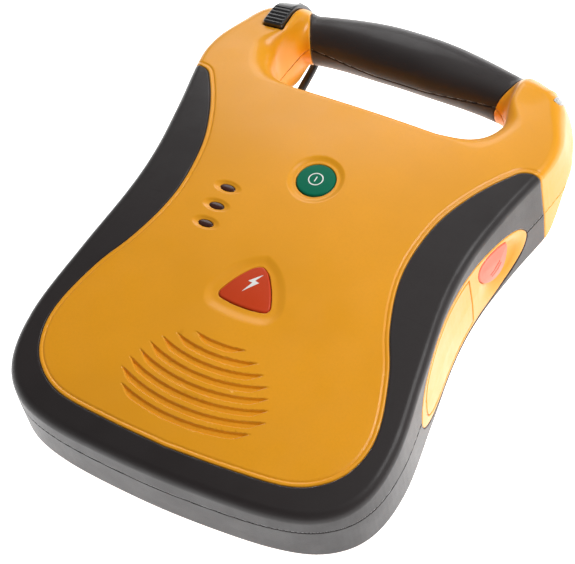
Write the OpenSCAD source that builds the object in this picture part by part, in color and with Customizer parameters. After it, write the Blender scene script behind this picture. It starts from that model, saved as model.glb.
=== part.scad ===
// Portable defibrillator (AED) lying on its back.
// +X is the device's right side, +Y runs towards the carrying handle, +Z points out of the face.
// Z = 0 is the plane of the rear feet; X = Y = 0 is the middle of the footprint.

/* [Case] */
// Greatest width of the case, across the shoulders
case_w = 217; // [214:0.5:220]
// Overall length, from the bottom end to the top of the handle
case_l = 305.8; // [303:0.2:308]
// Height of the highest point of the face above the feet
case_h = 68.8; // [68:0.2:72]
// Radius of the spherical crown of the face
crown_r = 881.6; // [860:0.2:900]
// Height of the joint between the front and rear halves
part_z = 30.9; // [30:0.1:31.5]
// Wall thickness of the yellow mouldings
wall = 2.4; // [2:0.1:2.6]
// Thickness of the black rubber skin
skin = 3.2; // [2.8:0.1:3.4]

/* [Handle] */
// Radius of the rubber grip's round section
grip_r = 16.4; // [15:0.1:16.6]
// Thickness of the rubber on the handle bar
grip_skin = 3; // [2.5:0.1:3.5]
// Radius of the arc that the middle of the handle follows
handle_arc_r = 325; // [320:0.5:335]
// Tilt of that arc, which lifts the middle of the handle towards the face
handle_tilt = 65; // [60:0.5:70]
// Half the length of the rubber grip, along X
grip_half = 66; // [62:0.5:66]

/* [Buttons] */
// Radius of the round power button
power_r = 10.4; // [9.5:0.1:10.6]
// Travel of the power and shock buttons
press_travel = 1; // [0.6:0.1:1]
// Travel of the battery eject button
eject_travel = 3; // [2.5:0.1:3]

/* [Speaker] */
// Number of curved slots in the speaker grille
grille_slots = 8; // [6:1:8]
// Spacing of the grille slots
grille_pitch = 6.2; // [6:0.1:6.3]
// Radius of the loudspeaker frame
speaker_r = 26; // [22:0.5:26]

/* [Battery] */
// Length of the battery pack, along X
pack_l = 116; // [112:0.5:118]
// Half height of the pointed oval on the right wall
bezel_half_h = 17.5; // [17:0.1:18]
// Half length of the pointed oval on the right wall
bezel_half_l = 64; // [62:0.5:65]

/* [Pads] */
// Radius of the pads lead
lead_r = 1.9; // [1.5:0.1:2]
// Length of the pads pouch
pouch_l = 148; // [130:1:150]
// Width of the pads pouch
pouch_w = 112; // [100:1:114]

/* [Hidden] */

$fn = 64;
ball_fn = 300;
eps = 0.01;
gap = 0.1;
slide_gap = 0.3;

half_l = case_l / 2;
base_z = 7;
crown_y = 49.5;
ball_z = case_h - crown_r;
shoulder_y = 77.5;
opening_y = 80.5;
opening_half = 74;
bar_y = half_l - grip_r;
bar_z = 46;
seam_z = 47;
bar_core_r = grip_r - grip_skin;
lid_z = case_h + 5;

speaker_y = -100;
speaker_tilt = 9.6;
grille_y = -7.5;
grille_r0 = 72.2;
slot_w = 2.2;

power_y = 26.4;
shock_y = -44.5;
led_x = -41.6;
led_y = [4.9, -7.3, -19.1];

board_z = 54;
board_t = 1.6;
main_bosses = [[46, -56], [-46, -56], [46, 56], [-46, 56]];
power_z = 18;
power_bosses = [[-42, -70], [-74, -70], [-42, 64], [-74, 64]];
case_bosses = [[90, -108], [-90, -108], [94, 98], [-94, 98], [0, -140], [-84, -6]];
cover_bosses = [[72, -84], [-72, -84], [72, 40], [-72, 40]];

bezel_y = -2.5;
bezel_z = 34.5;
bezel_r = (bezel_half_l * bezel_half_l + bezel_half_h * bezel_half_h) / (2 * bezel_half_h);
pack_y0 = -56.5;
pack_y1 = 10.5;
pack_x0 = 96.5 - pack_l;
bay_t = 1.2;

eject_y = 31.5;
eject_z = 36.5;
eject_x = 94;
latch_ratio = 5 / 6;

plug_x = -78;
plug_w = 13.6;
plug_y0 = 122;
plug_y1 = 145.6;
plug_z0 = 44;
plug_z1 = 62.5;
pin_dx = 2.6;
pin_x = plug_x - 2.4;
pin_z = 51;

pocket_half = 66;
pocket_z = 14;
cover_z0 = 1.2;
cover_z1 = 3.6;

// Right half of the case outline, from the bottom end to the handle
case_half = [
  [20, -152.62], [62, -149], [88, -140.5], [103.5, -123], [107.6, -94], [102, -53],
  [96.2, -14], [95.6, 16], [100, 49], [106.5, 82], [108.4, 104], [104.6, 121],
  [98.4, 134], [90, 141], [76, 143.4]
];
// Right half of the edge of the yellow face, from the bottom end to the shoulder
face_half = [
  [0, -138], [34, -136.3], [66, -132.2], [84, -122], [93, -107], [94, -88], [86, -61],
  [76, -40], [69, -18], [67, 2], [70, 27], [78, 48.5], [89, 67.5], [97, 76]
];

// Height of the face above the point (x, y)
function crown(x, y) = ball_z + sqrt(crown_r * crown_r - x * x - (y - crown_y) * (y - crown_y));

function flip(pts) = [for (i = [len(pts) - 1:-1:0]) [-pts[i][0], pts[i][1]]];
function catmull(a, b, c, d, t) =
  0.5 * (2 * b + (c - a) * t + (2 * a - 5 * b + 4 * c - d) * t * t
  + (3 * b - a - 3 * c + d) * t * t * t);
// Closed smooth curve through pts, with n steps between neighbours
function smooth_loop(pts, n) = let (m = len(pts)) [
  for (i = [0:m - 1]) for (k = [0:n - 1])
    catmull(pts[(i + m - 1) % m], pts[i], pts[(i + 1) % m], pts[(i + 2) % m], k / n)
];
function sized(pts) = [for (p = pts) [p[0] * case_w / 217, p[1] * case_l / 305.8]];

// ---------- shared shapes ----------

module outline_2d(inset = 0) {
  offset(delta = -inset)
    polygon(smooth_loop(concat(sized(case_half), flip(sized(case_half))), 3));
}

// The outline with the hand opening cut out of it
module case_2d(inset = 0) {
  offset(delta = -inset)
    difference() {
      outline_2d();
      opening_2d();
    }
}

// The hand opening: rounded at its two lower corners, open towards the handle
module opening_2d(grow = 0) {
  corner = 12;
  offset(r = corner + grow)
    translate([-opening_half + corner, opening_y + corner])
      square([2 * (opening_half - corner), half_l]);
}

module face_2d(inset = 0) {
  edge = smooth_loop(concat(face_half, [[125, 77.5], [125, 170]],
    flip(concat([for (i = [1:len(face_half) - 1]) face_half[i]], [[125, 77.5], [125, 170]]))), 3);
  offset(delta = -inset)
    union() {
      intersection() {
        polygon(edge);
        translate([-120, -160])
          square([240, 160 + shoulder_y]);
      }
      translate([-120, shoulder_y - eps])
        square([240, 90]);
    }
}

module ball(inset = 0) {
  translate([0, crown_y, ball_z])
    rotate([90, 0, 0])
      sphere(r = crown_r - inset, $fn = ball_fn);
}

// Solid of the case outline between two heights, moved inwards by inset
module slab(z0, z1, inset = 0) {
  translate([0, 0, z0])
    linear_extrude(z1 - z0)
      case_2d(inset);
}

// The same without the hand opening
module plain_slab(z0, z1, inset = 0) {
  translate([0, 0, z0])
    linear_extrude(z1 - z0)
      outline_2d(inset);
}

// Solid from height z0 up to the crowned face
module crowned(z0, inset = 0) {
  intersection() {
    slab(z0, lid_z, inset);
    ball(inset);
  }
}

module face_block(z0, inset = 0) {
  translate([0, 0, z0])
    linear_extrude(lid_z - z0)
      face_2d(inset);
}

module beyond_shoulder(y0) {
  translate([-120, y0, 0])
    cube([240, 100, lid_z]);
}

// Round bar along the handle's arc, for |x| up to half
module bar(r, half) {
  sweep = asin(half / handle_arc_r);
  translate([0, bar_y, bar_z])
    rotate([handle_tilt, 0, 0])
      translate([0, -handle_arc_r, 0])
        rotate([0, 0, 90 - sweep])
          rotate_extrude(angle = 2 * sweep, $fn = 128)
            translate([handle_arc_r, 0])
              circle(r);
}

module above(z) {
  translate([-150, -200, z])
    cube([300, 400, 100]);
}

module below(z) {
  translate([-150, -200, z - 100])
    cube([300, 400, 100]);
}

// Underside of the shoulders, rising towards the handle
module shoulder_cut() {
  for (side = [-1, 1])
    translate([side * 92, 92, base_z])
      rotate([atan(12 / 52), 0, 0])
        translate([-30, -20, -40])
          cube([60, 90, 40]);
}

module at_points(pts, z) {
  for (p = pts)
    translate([p[0], p[1], z])
      children();
}

module screw(head_r, head_h, shank_r, length) {
  cylinder(r = head_r, h = head_h);
  translate([0, 0, head_h - eps])
    cylinder(r = shank_r, h = length);
}

// Pointed oval of the right wall, in the Y-Z plane
module lens_2d(inset = 0) {
  intersection_for(side = [-1, 1])
    translate([bezel_y, bezel_z + side * (bezel_r - bezel_half_h)])
      circle(r = bezel_r - inset, $fn = 240);
}

module pack_2d(inset = 0) {
  intersection() {
    lens_2d(2.5 + inset);
    translate([pack_y0 + inset, 0])
      square([pack_y1 - pack_y0 - 2 * inset, 80]);
  }
}

// Leaf shape of the eject button, in the Y-Z plane
module leaf_2d(grow = 0) {
  leaf_r = 15;
  intersection_for(side = [-1, 1])
    translate([eject_y, eject_z + side * (leaf_r - 7.5)])
      circle(r = leaf_r + grow);
}

module along_x(x0, x1) {
  translate([x0, 0, 0])
    rotate([90, 0, 90])
      linear_extrude(x1 - x0)
        children();
}

module stadium(length, width) {
  for (side = [-1, 1])
    translate([side * (length - width) / 2, 0])
      circle(d = width);
  square([length - width, width], center = true);
}

module triangle_2d(grow = 0) {
  offset(r = 4 + grow)
    polygon([[0, 8.6], [-10, -7.4], [10, -7.4]]);
}

module at_speaker() {
  translate([0, speaker_y, crown(0, speaker_y)])
    rotate([speaker_tilt, 0, 0])
      children();
}

module tube(outer, inner, z0, z1) {
  translate([0, 0, z0])
    difference() {
      cylinder(r = outer, h = z1 - z0);
      translate([0, 0, -1])
        cylinder(r = inner, h = z1 - z0 + 2);
    }
}

module rod(a, b, r) {
  d = b - a;
  translate(a)
    rotate([0, acos(d[2] / norm(d)), atan2(d[1], d[0])])
      cylinder(r = r, h = norm(d), $fn = 24);
}

// Round wire through a list of points, with a bead a little thicker than the wire at each bend
module wire(pts, r) {
  for (i = [0:len(pts) - 2])
    rod(pts[i], pts[i + 1], r);
  for (i = [1:len(pts) - 2])
    translate(pts[i])
      sphere(r * 1.08, $fn = 24);
}

// Compression spring along +X from the origin
module coil(r, wire_r, length, turns) {
  rotate([0, 90, 0])
    linear_extrude(length, twist = -360 * turns, slices = 14 * turns, $fn = 8)
      translate([r, 0])
        circle(wire_r, $fn = 8);
}

module plug_notch() {
  translate([plug_x - plug_w / 2 - slide_gap, plug_y0 - slide_gap, plug_z0 - slide_gap])
    cube([plug_w + 2 * slide_gap, 60, 60]);
}

module box(x0, x1, y0, y1, z0, z1) {
  translate([x0, y0, z0])
    cube([x1 - x0, y1 - y0, z1 - z0]);
}

// ---------- case ----------

module face_openings() {
  translate([0, power_y, board_z]) {
    cylinder(r = power_r + slide_gap, h = 30);
    translate([0, 0, crown(0, power_y) - board_z - 0.6])
      cylinder(r = 15.4, h = 30);
  }
  translate([0, shock_y, board_z])
    linear_extrude(30)
      triangle_2d(slide_gap);
  translate([0, shock_y, crown(0, shock_y) - 0.8])
    linear_extrude(30)
      triangle_2d(6);
  for (y = led_y)
    translate([led_x, y, board_z])
      linear_extrude(30)
        stadium(9.1, 4.5);
  intersection() {
    grille_cuts(slot_w);
    translate([0, speaker_y, 30])
      cylinder(r = speaker_r + 16, h = 60);
  }
}

// Curved grille slots, all centred on one point up the face
module grille_cuts(w) {
  for (k = [0:grille_slots - 1]) {
    r = grille_r0 + k * grille_pitch;
    v = (k - 3.6) / 4.4;
    sweep = asin(42 * sqrt(1 - v * v * 0.95) / r);
    translate([0, grille_y, 40])
      rotate([0, 0, -90 - sweep])
        rotate_extrude(angle = 2 * sweep, $fn = 128)
          translate([r - w / 2, 0])
            square([w, 40]);
  }
}

module front_case() {
  color("#F2A91E")
    difference() {
      union() {
        difference() {
          union() {
            crowned(part_z, skin + gap);
            intersection() {
              crowned(part_z);
              face_block(part_z);
            }
          }
          crowned(part_z - 1, skin + gap + wall);
          intersection() {
            crowned(part_z - 1, skin + gap + wall - 3.2);
            ball(wall);
            face_block(part_z - 1, 3.2);
          }
          difference() {
            slab(part_z - 1, part_z + 8, skin + gap + wall);
            crowned(part_z - 2, skin + gap + wall);
          }
        }
        intersection() {
          at_points(main_bosses, board_z + board_t + gap)
            cylinder(r = 3.6, h = 30);
          ball(1.2);
        }
        intersection() {
          at_points(case_bosses, part_z)
            cylinder(r = 4.5, h = 40);
          union() {
            crowned(part_z, skin + gap + 1);
            intersection() {
              ball(1.2);
              beyond_shoulder(shoulder_y + 5);
            }
          }
        }
        handle_core(seam_z, lid_z, opening_half + 3);
      }
      at_points(main_bosses, board_z)
        cylinder(r = 1.55, h = 5.4);
      at_points(case_bosses, part_z - 1)
        cylinder(r = 1.95, h = 12.6);
      face_openings();
      plug_notch();
      for (side = [-1, 1])
        translate([pin_x + side * pin_dx, 100, pin_z])
          rotate([-90, 0, 0])
            cylinder(r = 1.9, h = 30);
      socket_room();
      gasket_groove();
      bezel_room();
      status_lens_room();
      riser(gap);
    }
}

// Space behind the plug for the pads socket
module socket_room() {
  box(pin_x - 5.3, pin_x + 5, 84, 119, seam_z + gap, 57);
}

// Half-pipe core of the handle bar between two heights, for |x| up to half
module handle_core(z0, z1, half) {
  intersection() {
    difference() {
      bar(bar_core_r, half);
      bar(bar_core_r - 3.4, half + 1);
    }
    translate([-150, 60, z0])
      cube([300, 120, z1 - z0]);
  }
}

// Step by which the rear half reaches up to the middle of the handle bar
module riser(grow = 0) {
  for (side = [-1, 1])
    translate([side * (opening_half + 0.5) - 3 - grow, 112.5 - grow, part_z - 4])
      cube([6 + 2 * grow, 36 + 2 * grow, seam_z - part_z + 4]);
}

module gasket_groove() {
  difference() {
    slab(part_z - 0.7, part_z + 0.7, skin + 0.9);
    slab(part_z - 2, part_z + 2, skin + 2.1);
  }
}

module bezel_room() {
  along_x(72, 120)
    lens_2d(-gap);
}

module status_lens_room() {
  translate([88.5, 133.4, 45])
    cube([4.4, 20, 30]);
}

module rear_case() {
  color("#EBA01A")
    difference() {
      union() {
        difference() {
          union() {
            slab(base_z, part_z, 12 + gap);
            slab(base_z + 2.4 + gap, part_z, skin + gap);
            intersection() {
              slab(base_z, part_z);
              beyond_shoulder(shoulder_y);
            }
            intersection() {
              riser();
              plain_slab(base_z, lid_z);
            }
          }
          difference() {
            slab(base_z + 2.4 + gap + wall, part_z + 1, skin + gap + wall);
            box(-pocket_half - wall, pocket_half + wall, -82, 90, base_z, pocket_z + wall);
            beyond_shoulder(82);
          }
        }
        intersection() {
          union() {
            at_points(case_bosses, base_z + 2.5)
              cylinder(r = 5, h = part_z - base_z - 2.5);
            at_points(power_bosses, base_z + 3)
              cylinder(r = 3.4, h = power_z - base_z - 3 - gap);
          }
          slab(base_z, part_z, skin + gap + 1);
        }
        handle_core(base_z, seam_z - gap, opening_half - 2);
      }
      box(-pocket_half, pocket_half, -80, 90, 0, pocket_z);
      at_points(case_bosses, 0)
        cylinder(r = 2.1, h = 60);
      at_points(case_bosses, 0)
        cylinder(r = 3.9, h = 12);
      at_points(power_bosses, power_z - 3.6)
        cylinder(r = 1.35, h = 6);
      at_points(cover_bosses, 0)
        cylinder(r = 1.35, h = 9);
      plug_notch();
      gasket_groove();
      bezel_room();
      shoulder_cut();
    }
}

module case_gasket() {
  color("#2A2A2A")
    difference() {
      slab(part_z - 0.6, part_z + 0.6, skin + 1);
      slab(part_z - 2, part_z + 2, skin + 2);
      bezel_room();
    }
}

module front_bumper() {
  color("#38302E")
    difference() {
      crowned(part_z);
      crowned(part_z - 1, skin);
      difference() {
        slab(part_z - 1, part_z + 8, skin);
        crowned(part_z - 2, skin);
      }
      face_block(part_z - 1, -gap);
      bezel_room();
    }
}

module rear_bumper() {
  color("#38302E")
    difference() {
      plain_slab(base_z, part_z - gap);
      plain_slab(base_z + 2.4, part_z, skin);
      plain_slab(base_z - 1, base_z + 3, 12);
      beyond_shoulder(shoulder_y - gap);
      bezel_room();
    }
}

module grip_front() {
  color("#2E2826")
    intersection() {
      grip_sleeve();
      above(seam_z);
    }
}

module grip_rear() {
  color("#2E2826")
    intersection() {
      grip_sleeve();
      below(seam_z - gap);
    }
}

module grip_sleeve() {
  difference() {
    bar(grip_r, grip_half);
    bar(bar_core_r + gap, grip_half + 4);
  }
}

module side_bezel() {
  color("#F4B84A")
    difference() {
      intersection() {
        slab(base_z, 60);
        along_x(72, 120)
          lens_2d();
      }
      slab(base_z - 1, 61, skin);
      along_x(72, 120)
        pack_2d(-0.25);
      along_x(eject_x - 20, 120)
        leaf_2d(slide_gap);
      along_x(eject_x + 0.8, 120)
        leaf_2d(2.2);
    }
}

// ---------- back ----------

module cover_2d(inset = 0) {
  offset(r = 10 - inset)
    translate([-70, -82])
      square([140, 150]);
}

module pads_cover() {
  color("#33302F")
    difference() {
      translate([0, 0, cover_z0])
        linear_extrude(base_z - gap - cover_z0)
          cover_2d();
      box(-pocket_half, pocket_half, -80, 90, cover_z1, base_z + 1);
      at_points(cover_bosses, 0)
        cylinder(r = 1.7, h = 20);
      at_points(cover_bosses, 0)
        cylinder(r = 3.2, h = 3.2);
    }
}

module rear_feet() {
  color("#202020")
    for (x = [-56, 56], y = [-74, 62])
      translate([x, y, 0])
        cylinder(r = 7, h = cover_z0);
}

module case_screws() {
  color("silver")
    at_points(case_bosses, 9.6)
      screw(3.5, 2.2, 1.85, 28);
}

module cover_screws() {
  color("silver")
    at_points(cover_bosses, 1.6)
      screw(2.8, 1.5, 1.3, 5.2);
}

module pads_pouch() {
  color("#C9CDD2")
    translate([0, 0, 4.4])
      linear_extrude(7.6)
        offset(r = 5)
          translate([-pouch_w / 2 + 5, 73 - pouch_l])
            square([pouch_w - 10, pouch_l - 5]);
}

// ---------- face controls ----------

module power_button() {
  top = crown(0, power_y);
  color("#0E8A5A")
    translate([0, power_y, 0]) {
      translate([0, 0, 60.2])
        cylinder(r = 2.6, h = 4);
      translate([0, 0, 63.9])
        cylinder(r = power_r + 1.4, h = top - wall - 0.7 - 63.9);
      translate([0, 0, 64])
        cylinder(r = power_r, h = top - 64.2);
      translate([0, 0, top - 0.21])
        cylinder(r1 = power_r - 0.2, r2 = power_r - 2.4, h = 0.5);
    }
}

module shock_button() {
  top = crown(0, shock_y);
  color("#C8401C")
    translate([0, shock_y, 0]) {
      translate([0, 0, 58.5])
        linear_extrude(1)
          triangle_2d(1.6);
      translate([0, 0, 59])
        linear_extrude(top - 59.2)
          triangle_2d();
    }
}

module button_switches() {
  color("#3A3A3C") {
    switch(power_y, 3.45);
    switch(shock_y, 1.8);
  }
}

module switch(y, h) {
  translate([0, y, board_z + board_t + 0.02]) {
    translate([-3, -3, 0])
      cube([6, 6, h - 0.8]);
    cylinder(r = 1.7, h = h);
  }
}

module led_light_pipes() {
  color("#5A3A30")
    for (y = led_y)
      translate([led_x, y, 0]) {
        translate([0, 0, crown(led_x, y) - 3.4])
          linear_extrude(2.8)
            stadium(8.9, 4.3);
        translate([0, 0, 57.4])
          cylinder(r = 1.8, h = crown(led_x, y) - 3.3 - 57.4);
      }
}

module board_leds() {
  color("#E8E4DA")
    for (y = led_y)
      translate([led_x - 1, y - 0.8, board_z + board_t + 0.02])
        cube([2, 1.6, 1.1]);
}

module status_lens() {
  color("#E6ECEE")
    translate([88.65, 133.55, 47])
      cube([4.1, 8, 11]);
}

module status_led() {
  color("#DADADA")
    box(88.7, 92.6, 128, 130.6, 48, 56);
}

// ---------- loudspeaker ----------

module speaker_gasket() {
  color("#1C1C1C")
    at_speaker()
      tube(speaker_r, speaker_r - 4, -4, -3.1);
}

module speaker_frame() {
  color("#6E7276")
    at_speaker() {
      tube(speaker_r, speaker_r - 4.5, -5.2, -4.05);
      difference() {
        translate([0, 0, -13.5])
          cylinder(r1 = 14.5, r2 = speaker_r - 2, h = 8.6);
        translate([0, 0, -12.6])
          cylinder(r1 = 13.4, r2 = speaker_r - 3, h = 8.2);
        translate([0, 0, -20])
          cylinder(r = 7.6, h = 12);
      }
    }
}

module speaker_cone() {
  color("#2B2B2E")
    at_speaker()
      difference() {
        translate([0, 0, -11.4])
          cylinder(r1 = 7, r2 = speaker_r - 4.7, h = 6.2);
        translate([0, 0, -10.7])
          cylinder(r1 = 6.4, r2 = speaker_r - 5.4, h = 6.2);
      }
}

module speaker_magnet() {
  color("#4A4A4E")
    at_speaker() {
      translate([0, 0, -21])
        cylinder(r = 13, h = 7.4);
      translate([0, 0, -13.7])
        cylinder(r = 6, h = 2.2);
    }
}

module speaker_leads() {
  color("#B02020")
    for (x = [15.5, 18])
      wire([[x, -96, 40.5], [x, -78, 47], [x, -66, 50.5], [x, -62, 53.3]], 0.7);
}

// ---------- electronics ----------

module main_board() {
  color("#1F6B3A")
    translate([0, 0, board_z])
      linear_extrude(board_t)
        difference() {
          offset(r = 3)
            square([98, 118], center = true);
          at_2d(main_bosses)
            circle(1.8);
        }
}

module at_2d(pts) {
  for (p = pts)
    translate(p)
      children();
}

module board_chips() {
  color("#26282A") {
    translate([10, 42, board_z + board_t + 0.02])
      cube([20, 14, 1.6]);
    translate([-34, 34, board_z + board_t + 0.02])
      cube([14, 14, 1.4]);
    translate([20, -34, board_z + board_t + 0.02])
      cube([12, 18, 1.6]);
    translate([24, 2, board_z + board_t + 0.02])
      cube([10, 10, 1.4]);
  }
}

module main_board_screws() {
  color("silver")
    at_points(main_bosses, board_z + board_t + 3.3)
      mirror([0, 0, 1])
        union() {
          cylinder(r = 1.5, h = 5.2);
          translate([0, 0, 4.92])
            cylinder(r = 2.9, h = 1.4);
        }
}

module power_board() {
  color("#1F6B3A")
    difference() {
      box(-77.5, -38, -76, 70, power_z, power_z + board_t);
      at_points(power_bosses, power_z - 1)
        cylinder(r = 1.6, h = 4);
    }
}

module power_board_screws() {
  color("silver")
    at_points(power_bosses, power_z + board_t + 0.02)
      union() {
        cylinder(r = 2.5, h = 1.2);
        translate([0, 0, -4.4])
          cylinder(r = 1.3, h = 4.5);
      }
}

module hv_capacitor() {
  color("#2D4B7A")
    translate([-57.5, -66, 36]) {
      rotate([-90, 0, 0])
        cylinder(r = 15.5, h = 76);
      for (x = [-5, 5])
        translate([x, 75.9, 0])
          rotate([-90, 0, 0])
            cylinder(r = 1.6, h = 5);
    }
}

module capacitor_strap() {
  color("#D8D4C8")
    translate([-57.5, -32, 36])
      rotate([-90, 0, 0])
        tube(16.25, 15.6, 0, 8);
}

module hv_transformer() {
  color("#7A5A34") {
    box(-74, -43, 19, 41, power_z + board_t + 0.05, power_z + 8);
    box(-70, -47, 22, 38, power_z + 7.9, power_z + 24);
    box(-74, -43, 19, 41, power_z + 23.9, power_z + 28);
  }
}

module output_module() {
  color("#2A2A2C")
    box(-70, -46, 45, 60, power_z + board_t + 0.05, power_z + 15);
}

module heat_sink() {
  color("#B9BCC0") {
    box(-71, -45, 44, 61, power_z + 15.05, power_z + 18);
    for (i = [0:5])
      box(-71 + i * 4.9, -69.5 + i * 4.9, 44, 61, power_z + 17.9, power_z + 28);
  }
}

module battery_bay() {
  color("#4A4644")
    difference() {
      union() {
        along_x(pack_x0 - 3, 89)
          pack_2d(-0.35 - bay_t);
      }
      along_x(pack_x0 - 1.8, 90)
        pack_2d(-0.35);
      box(pack_x0 - 8, pack_x0, -40, -14, 26, 43);
      box(60, 76, 5, 20, 31, 40);
    }
}

module battery_connector() {
  color("#1E1E20") {
    box(pack_x0 - 12, pack_x0 - 3.05, -38, -16, 28, 41);
    for (y = [-34, -29, -24, -19])
      box(pack_x0 - 3.1, pack_x0 + 4.5, y - 0.4, y + 0.4, 31.5, 37.5);
  }
}

module battery_leads() {
  color("#C02222")
    for (y = [-22, -30])
      wire([[pack_x0 - 12.6, y, 34], [-34.5, y, 30], [-37, y, 25], [-39.5, y, 19.7 + 0.9]], 0.8);
}

module card_slot() {
  color("#C9CCD0")
    difference() {
      box(69.6, 77, -24, 8, 12.1, 16);
      box(71.5, 78, -21.2, 5.2, 12.8, 15.2);
    }
}

module data_card() {
  color("#20242A")
    box(72, 87, -21, 5, 12.9, 15.1);
}

// ---------- battery pack ----------

module pack_case() {
  color("#3C3A3A")
    difference() {
      along_x(pack_x0, 92)
        pack_2d();
      along_x(pack_x0 + 2, 92.1)
        pack_2d(1.8);
      for (y = [-34, -29, -24, -19])
        box(pack_x0 - 1, pack_x0 + 3, y - 0.8, y + 0.8, 30.8, 38.2);
    }
}

// Yellow end of the pack, flush with the right wall
module pack_face() {
  color("#F4B84A")
    difference() {
      intersection() {
        slab(base_z, 60);
        along_x(72, 120)
          pack_2d();
      }
      along_x(60, 92.05)
        pack_2d(-1);
    }
}

module pack_cells() {
  color("#B8BCC4")
    for (k = [0:2], y = [-33, -15.6])
      translate([pack_x0 + 8.2 + k * 34.3, y, bezel_z])
        rotate([0, 90, 0])
          union() {
            cylinder(r = 8.2, h = 33);
            cylinder(r = 3, h = 34);
          }
}

module nine_volt_cell() {
  color("#5B5F66")
    box(pack_x0 + 44, pack_x0 + 90, -6.8, 8.4, bezel_z - 12.2, bezel_z + 12.2);
}

module pack_contacts() {
  color("#C9A227")
    for (y = [-34, -29, -24, -19])
      box(pack_x0 + 5.4, pack_x0 + 7.6, y - 1.5, y + 1.5, 31.6, 37.4);
}

// ---------- eject mechanism ----------

module eject_button() {
  color("#E8603A")
    difference() {
      union() {
        along_x(eject_x - 7, eject_x)
          leaf_2d();
        along_x(eject_x - 9, eject_x - 6.9)
          leaf_2d(1.4);
        translate([0, 0, 34])
          linear_extrude(4)
            polygon([[86, 26], [86, 33], [77, 33], [73, 33 - 4 * latch_ratio], [73, 26]]);
      }
      translate([eject_x - 10, 40, 36.5])
        rotate([0, 90, 0])
          cylinder(r = 2.6, h = 5);
      for (z = [eject_z - 1.4, eject_z + 1.4])
        box(eject_x - 0.5, eject_x + 1, eject_y - 5, eject_y + 5, z - 0.35, z + 0.35);
    }
}

// Slider that the eject button's wedge pushes out of the pack's way
module eject_latch() {
  color("#8E9296")
    translate([0, 0, 34])
      linear_extrude(4)
        polygon([
          [62, 11.2], [67, 13.5], [69.5, 13.5], [69.5, 33.75 - 8 * latch_ratio], [77.5, 33.75],
          [77.5, 37.5], [66, 37.5], [66, 18], [62, 18]
        ]);
}

module eject_spring() {
  color("silver")
    translate([79.5, 40, 36.5])
      coil(1.7, 0.35, 6.2, 5);
}

module ejector_springs() {
  color("silver")
    for (y = [-44, -6])
      translate([pack_x0 - 1.7, y, bezel_z])
        coil(3, 0.5, 1.5, 2);
}

// ---------- pads connector ----------

module pads_socket() {
  color("#26262A")
    difference() {
      box(pin_x - 5.2, pin_x + 4.9, 104, 118.9, seam_z + 0.2, 56.9);
      for (side = [-1, 1])
        translate([pin_x + side * pin_dx, 106, pin_z])
          rotate([-90, 0, 0])
            cylinder(r = 2.2, h = 20);
    }
}

module socket_contacts() {
  color("#C9A227")
    for (side = [-1, 1])
      translate([pin_x + side * pin_dx, 107, pin_z])
        rotate([-90, 0, 0])
          tube(2.1, 1.7, 0, 11);
}

module socket_leads() {
  color("#D8D8D8")
    for (x = [-83, -79.5])
      wire([[x, 103.7, 50], [x, 92, 46], [x, 76, 40], [-74, 68, 24], [-74, 66.5, 21]], 0.8);
}

module plug_contacts() {
  color("#C9A227")
    for (side = [-1, 1])
      translate([pin_x + side * pin_dx, 108.5, pin_z])
        rotate([-90, 0, 0])
          cylinder(r = 1.6, h = 14);
}

module pads_plug() {
  color("#2B2B2D")
    difference() {
      box(plug_x - plug_w / 2, plug_x + plug_w / 2, plug_y0, plug_y1, plug_z0, plug_z1);
      for (k = [0:4])
        box(plug_x - plug_w, plug_x + plug_w, plug_y0 + 3 + 2.6 * k, plug_y0 + 4 + 2.6 * k,
          plug_z1 - 0.8, plug_z1 + 1);
    }
}

module pads_lead() {
  color("#232325")
    wire([
      [plug_x, plug_y1 + 0.02, 47], [plug_x, 150.2, 44], [-76.5, 150.2, 29],
      [-67, 143, 18], [-64, 100, 16], [-62.5, 72, 9]
    ], lead_r);
}

front_case();
rear_case();
case_gasket();
front_bumper();
rear_bumper();
grip_front();
grip_rear();
side_bezel();
pads_cover();
rear_feet();
case_screws();
cover_screws();
power_button();
shock_button();
button_switches();
led_light_pipes();
board_leds();
status_lens();
status_led();
speaker_gasket();
speaker_frame();
speaker_cone();
speaker_magnet();
speaker_leads();
main_board();
board_chips();
main_board_screws();
power_board();
power_board_screws();
hv_capacitor();
capacitor_strap();
hv_transformer();
output_module();
heat_sink();
battery_bay();
battery_connector();
battery_leads();
card_slot();
data_card();
pack_case();
pack_face();
pack_cells();
nine_volt_cell();
pack_contacts();
eject_button();
eject_latch();
eject_spring();
ejector_springs();
pads_socket();
socket_contacts();
socket_leads();
pads_plug();
plug_contacts();
pads_lead();
pads_pouch();
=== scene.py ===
import math
from concurrent.futures import ThreadPoolExecutor

import bpy
import numpy as np
from mathutils import Matrix, Vector


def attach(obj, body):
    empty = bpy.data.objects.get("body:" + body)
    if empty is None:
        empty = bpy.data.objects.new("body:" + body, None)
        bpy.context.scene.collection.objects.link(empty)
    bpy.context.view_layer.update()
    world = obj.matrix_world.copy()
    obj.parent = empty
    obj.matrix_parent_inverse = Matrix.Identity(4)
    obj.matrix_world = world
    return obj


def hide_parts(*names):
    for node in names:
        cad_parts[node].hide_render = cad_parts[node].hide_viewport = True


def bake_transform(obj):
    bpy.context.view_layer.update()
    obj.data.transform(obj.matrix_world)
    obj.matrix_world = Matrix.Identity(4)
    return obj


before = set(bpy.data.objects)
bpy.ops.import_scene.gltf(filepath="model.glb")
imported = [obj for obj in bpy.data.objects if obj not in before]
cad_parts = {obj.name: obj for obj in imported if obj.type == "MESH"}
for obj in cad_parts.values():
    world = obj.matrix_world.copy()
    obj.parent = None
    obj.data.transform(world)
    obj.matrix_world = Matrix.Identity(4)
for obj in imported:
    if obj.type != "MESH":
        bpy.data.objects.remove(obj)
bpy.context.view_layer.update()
COARSE = 1.0

# Lengths in the shape functions are millimetres, in the frame of the CAD model.
MM = 0.001

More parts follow.
